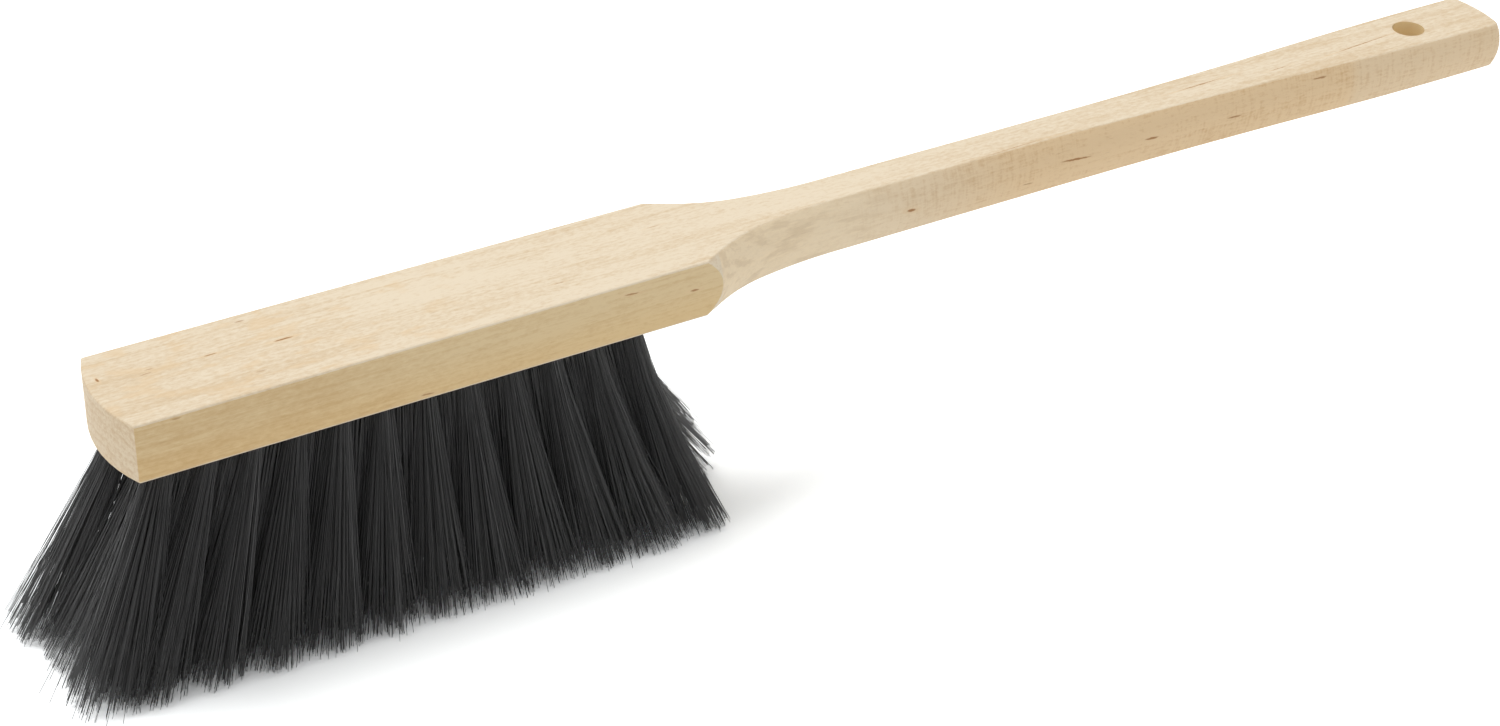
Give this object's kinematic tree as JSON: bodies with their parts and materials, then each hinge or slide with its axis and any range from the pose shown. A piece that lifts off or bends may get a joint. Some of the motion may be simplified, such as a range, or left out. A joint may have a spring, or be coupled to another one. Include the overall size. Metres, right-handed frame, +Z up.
{
  "type": "hand broom",
  "caption": "Long-handled hand broom: flat wooden block running into a slim handle with a hanging hole, and splayed rows of black bristle tufts for sweeping.",
  "frame": {"origin": "on the floor under the bristle tips, at the middle of the overall box", "axes": "+X along the broom towards the handle's end, +Y across it to the side of the right row, +Z up through the wooden body"},
  "size_m": [0.4981, 0.0648, 0.082],
  "materials": {
    "wood": "matte",
    "bristle": "matte",
    "anchor_steel": "satin"
  },
  "bodies": {
    "root": {"centre_tuft_01": "bristle", "centre_tuft_02": "bristle", "centre_tuft_03": "bristle", "centre_tuft_04": "bristle", "centre_tuft_05": "bristle", "centre_tuft_06": "bristle", "centre_tuft_07": "bristle", "centre_tuft_08": "bristle", "centre_tuft_09": "bristle", "centre_tuft_10": "bristle", "centre_tuft_11": "bristle", "handle_block": "wood", "left_tuft_01": "bristle", "left_tuft_02": "bristle", "left_tuft_03": "bristle", "left_tuft_04": "bristle", "left_tuft_05": "bristle", "left_tuft_06": "bristle", "left_tuft_07": "bristle", "left_tuft_08": "bristle", "left_tuft_09": "bristle", "left_tuft_10": "bristle", "left_tuft_11": "bristle", "left_tuft_12": "bristle", "right_tuft_01": "bristle", "right_tuft_02": "bristle", "right_tuft_03": "bristle", "right_tuft_04": "bristle", "right_tuft_05": "bristle", "right_tuft_06": "bristle", "right_tuft_07": "bristle", "right_tuft_08": "bristle", "right_tuft_09": "bristle", "right_tuft_10": "bristle", "right_tuft_11": "bristle", "right_tuft_12": "bristle", "tuft_anchors": "anchor_steel"}
  },
  "joints": []
}
